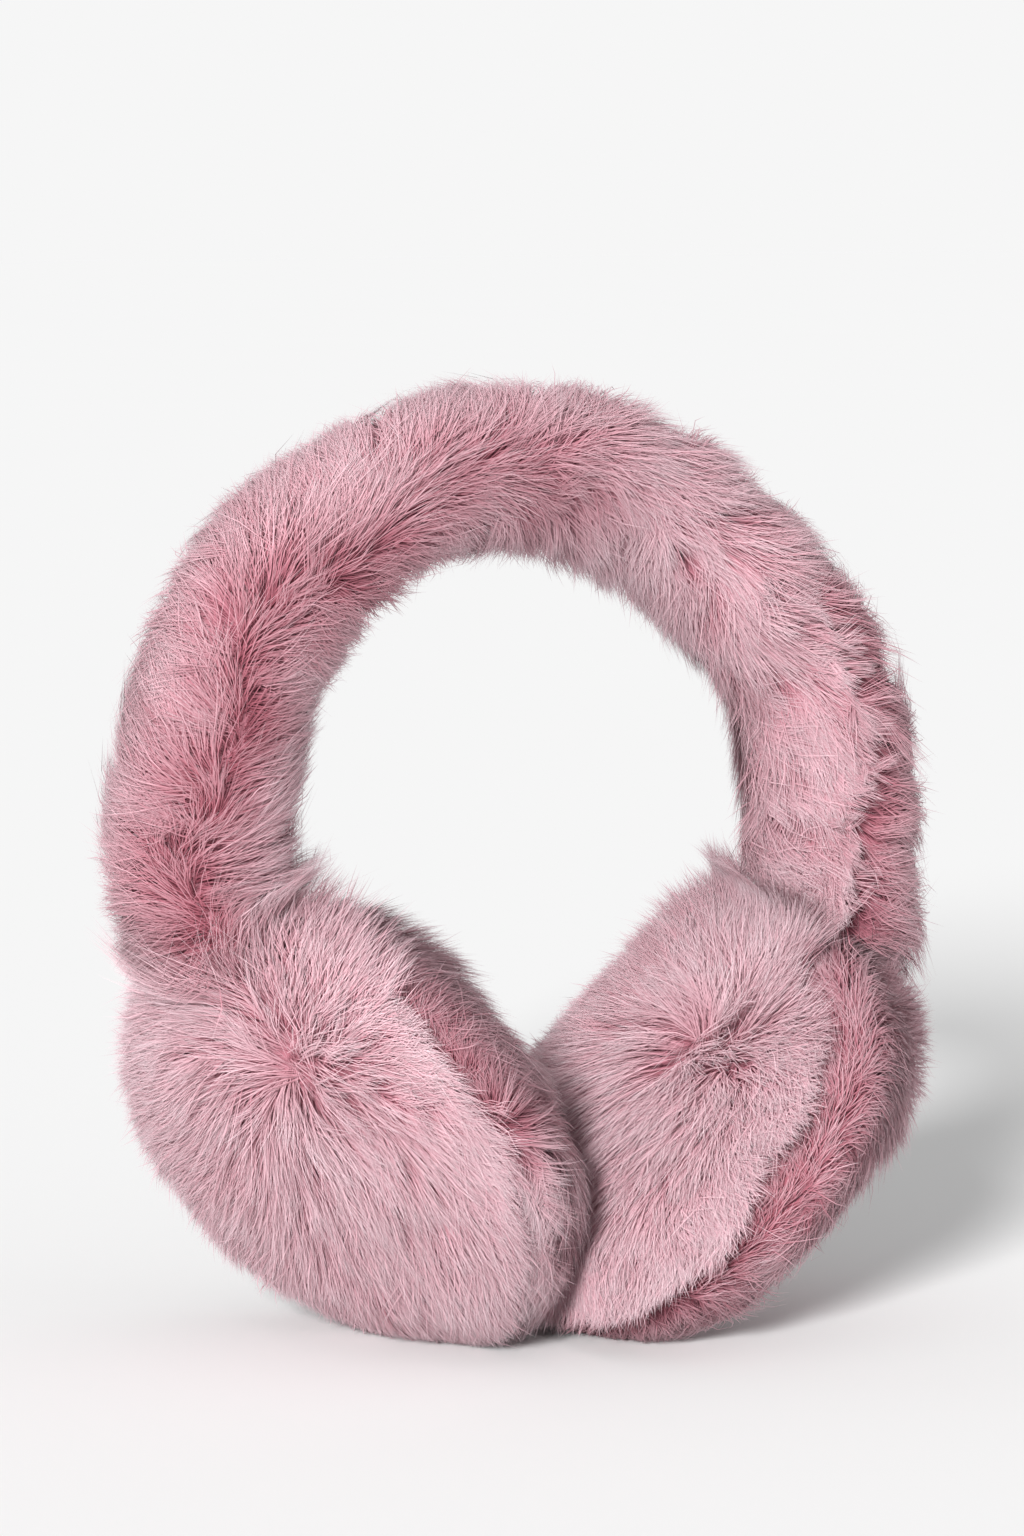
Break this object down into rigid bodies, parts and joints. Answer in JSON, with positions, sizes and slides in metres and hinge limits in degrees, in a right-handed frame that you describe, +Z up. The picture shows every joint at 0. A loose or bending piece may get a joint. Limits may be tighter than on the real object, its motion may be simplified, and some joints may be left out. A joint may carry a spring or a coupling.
{
  "type": "fur earmuffs",
  "caption": "Earmuffs covered in deep soft fur: a padded arched head band joined to round domed ear cups that stand on their lower edges and lean together.",
  "frame": {"origin": "on the surface that the cups stand on, under the middle of the whole", "axes": "+Z up through the top of the band, X from the left cup to the right cup, Y through the head space from front to back"},
  "size_m": [0.2097, 0.1345, 0.2315],
  "materials": {
    "fur": "deep soft pile in dusty rose, darker at the roots and paler at the tips"
  },
  "bodies": {
    "root": {"band": "fur", "left_cup_outer": "fur", "left_cup_inner": "fur", "right_cup_outer": "fur", "right_cup_inner": "fur"}
  },
  "joints": []
}
